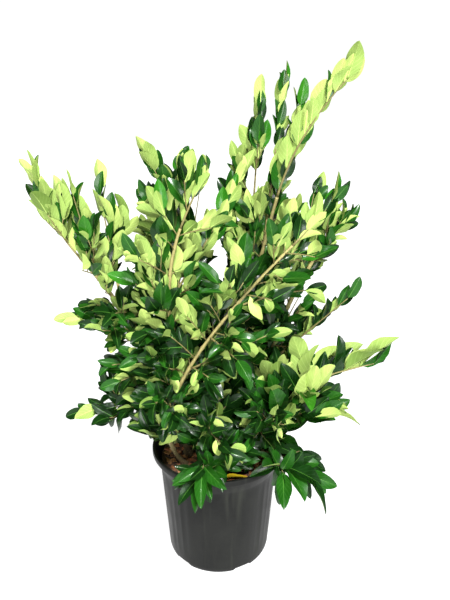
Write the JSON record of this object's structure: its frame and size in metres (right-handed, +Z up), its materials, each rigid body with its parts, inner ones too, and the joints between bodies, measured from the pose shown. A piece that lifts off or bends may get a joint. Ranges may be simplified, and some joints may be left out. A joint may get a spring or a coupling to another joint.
{
  "type": "potted japanese privet",
  "caption": "Evergreen shrub with many leaning stems and shoots of paired glossy leaves, planted in bark mix in a round nursery pot that stands on its flat underside.",
  "frame": {"origin": "middle of the pot's flat underside", "axes": "+Z up from the underside, -Y the front that the picture shows, +X to the right seen from the front"},
  "size_m": [0.6704, 0.5809, 1.0249],
  "materials": {
    "pot": "moulded dark grey plastic, slightly scuffed",
    "soil": "loose chips of brown bark",
    "bark": "pale tan bark with raised pores",
    "foliage": "glossy dark green leaves with pale undersides"
  },
  "bodies": {
    "root": {"bough_back_left_side": "bark", "bough_back_right_side": "bark", "bough_left_lowest": "bark", "bough_left_upper": "bark", "bough_right_middle": "bark", "bough_tall_centre": "bark", "bough_tall_thin": "bark", "foliage_back_centre": "foliage", "foliage_back_left": "foliage", "foliage_back_left_side": "foliage", "foliage_back_low_left": "foliage", "foliage_back_low_right": "foliage", "foliage_back_right": "foliage", "foliage_back_right_side": "foliage", "foliage_back_tall": "foliage", "foliage_centre": "foliage", "foliage_centre_front": "foliage", "foliage_centre_high": "foliage", "foliage_centre_right": "foliage", "foliage_far_left": "foliage", "foliage_front_centre": "foliage", "foliage_front_high": "foliage", "foliage_front_left": "foliage", "foliage_front_right": "foliage", "foliage_left_front": "foliage", "foliage_left_high": "foliage", "foliage_left_low": "foliage", "foliage_left_lowest": "foliage", "foliage_left_side": "foliage", "foliage_left_upper": "foliage", "foliage_low_back_left": "foliage", "foliage_low_back_right": "foliage", "foliage_low_left": "foliage", "foliage_middle_centre": "foliage", "foliage_middle_front": "foliage", "foliage_middle_left": "foliage", "foliage_right_back": "foliage", "foliage_right_bright": "foliage", "foliage_right_high": "foliage", "foliage_right_long": "foliage", "foliage_right_low": "foliage", "foliage_right_middle": "foliage", "foliage_right_side": "foliage", "foliage_rim_front": "foliage", "foliage_rim_right": "foliage", "foliage_tall_centre": "foliage", "foliage_tall_right": "foliage", "foliage_tall_second": "foliage", "foliage_tall_thin": "foliage", "pot": "pot", "soil": "soil", "stem_back_left": "bark", "stem_back_right": "bark", "stem_left": "bark", "stem_middle": "bark", "stem_middle_left": "bark", "stem_right": "bark", "stem_right_high": "bark", "stem_right_low": "bark", "stem_tall": "bark"}
  },
  "joints": []
}
